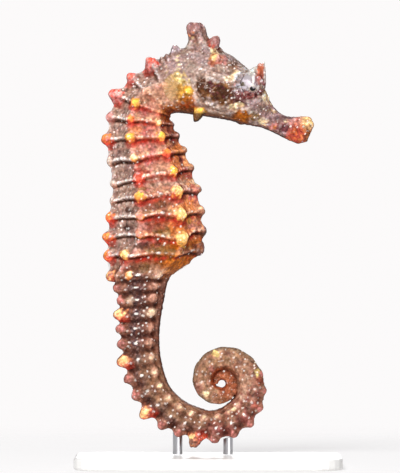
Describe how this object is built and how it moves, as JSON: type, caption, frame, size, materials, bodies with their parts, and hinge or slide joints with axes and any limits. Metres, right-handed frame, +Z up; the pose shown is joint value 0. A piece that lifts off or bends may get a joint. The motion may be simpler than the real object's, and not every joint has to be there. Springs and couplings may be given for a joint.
{
  "type": "seahorse",
  "caption": "Lined seahorse held upright on a flat display base by short rods, with a knobbed ringed body, tall coronet, tubular snout and tail curled into a spiral.",
  "frame": {"origin": "centre of the underside of the stand's base", "axes": "+Z up through the coronet, +X towards the mouth and belly, +Y towards the animal's left side"},
  "size_m": [0.056, 0.03, 0.0936],
  "materials": {
    "snout": "moist skin over bone, mauve grey with a red and orange mouth",
    "head": "moist skin over bone, grey and brown with white dots",
    "coronet": "moist skin over bone, grey brown with pink knobs",
    "eye": "glossy, silver iris with a dark pupil",
    "neck": "moist skin over bony rings, olive yellow and brown",
    "trunk": "moist skin over bony rings, grey mauve back, salmon red side, amber belly",
    "tail": "moist skin over bony rings, maroon brown with white dots",
    "tail_coil": "moist skin over bony rings, tan and pink with cream dots",
    "fin": "thin clear fin skin with pale rays",
    "stand_base": "satin off-white",
    "stand_rod": "brushed"
  },
  "bodies": {
    "root": {"snout": "snout", "head": "head", "coronet": "coronet", "eye_left": "eye", "eye_right": "eye", "neck": "neck", "trunk_upper": "trunk", "trunk_lower": "trunk", "tail_base": "tail", "tail_middle": "tail", "tail_bend": "tail", "tail_coil_front": "tail_coil", "tail_coil_top": "tail_coil", "tail_coil_inner": "tail_coil", "tail_tip": "tail_coil", "dorsal_fin": "fin", "anal_fin": "fin", "pectoral_fin_left": "fin", "pectoral_fin_right": "fin", "stand_base": "stand_base", "stand_rod_front": "stand_rod", "stand_rod_rear": "stand_rod"}
  },
  "joints": []
}
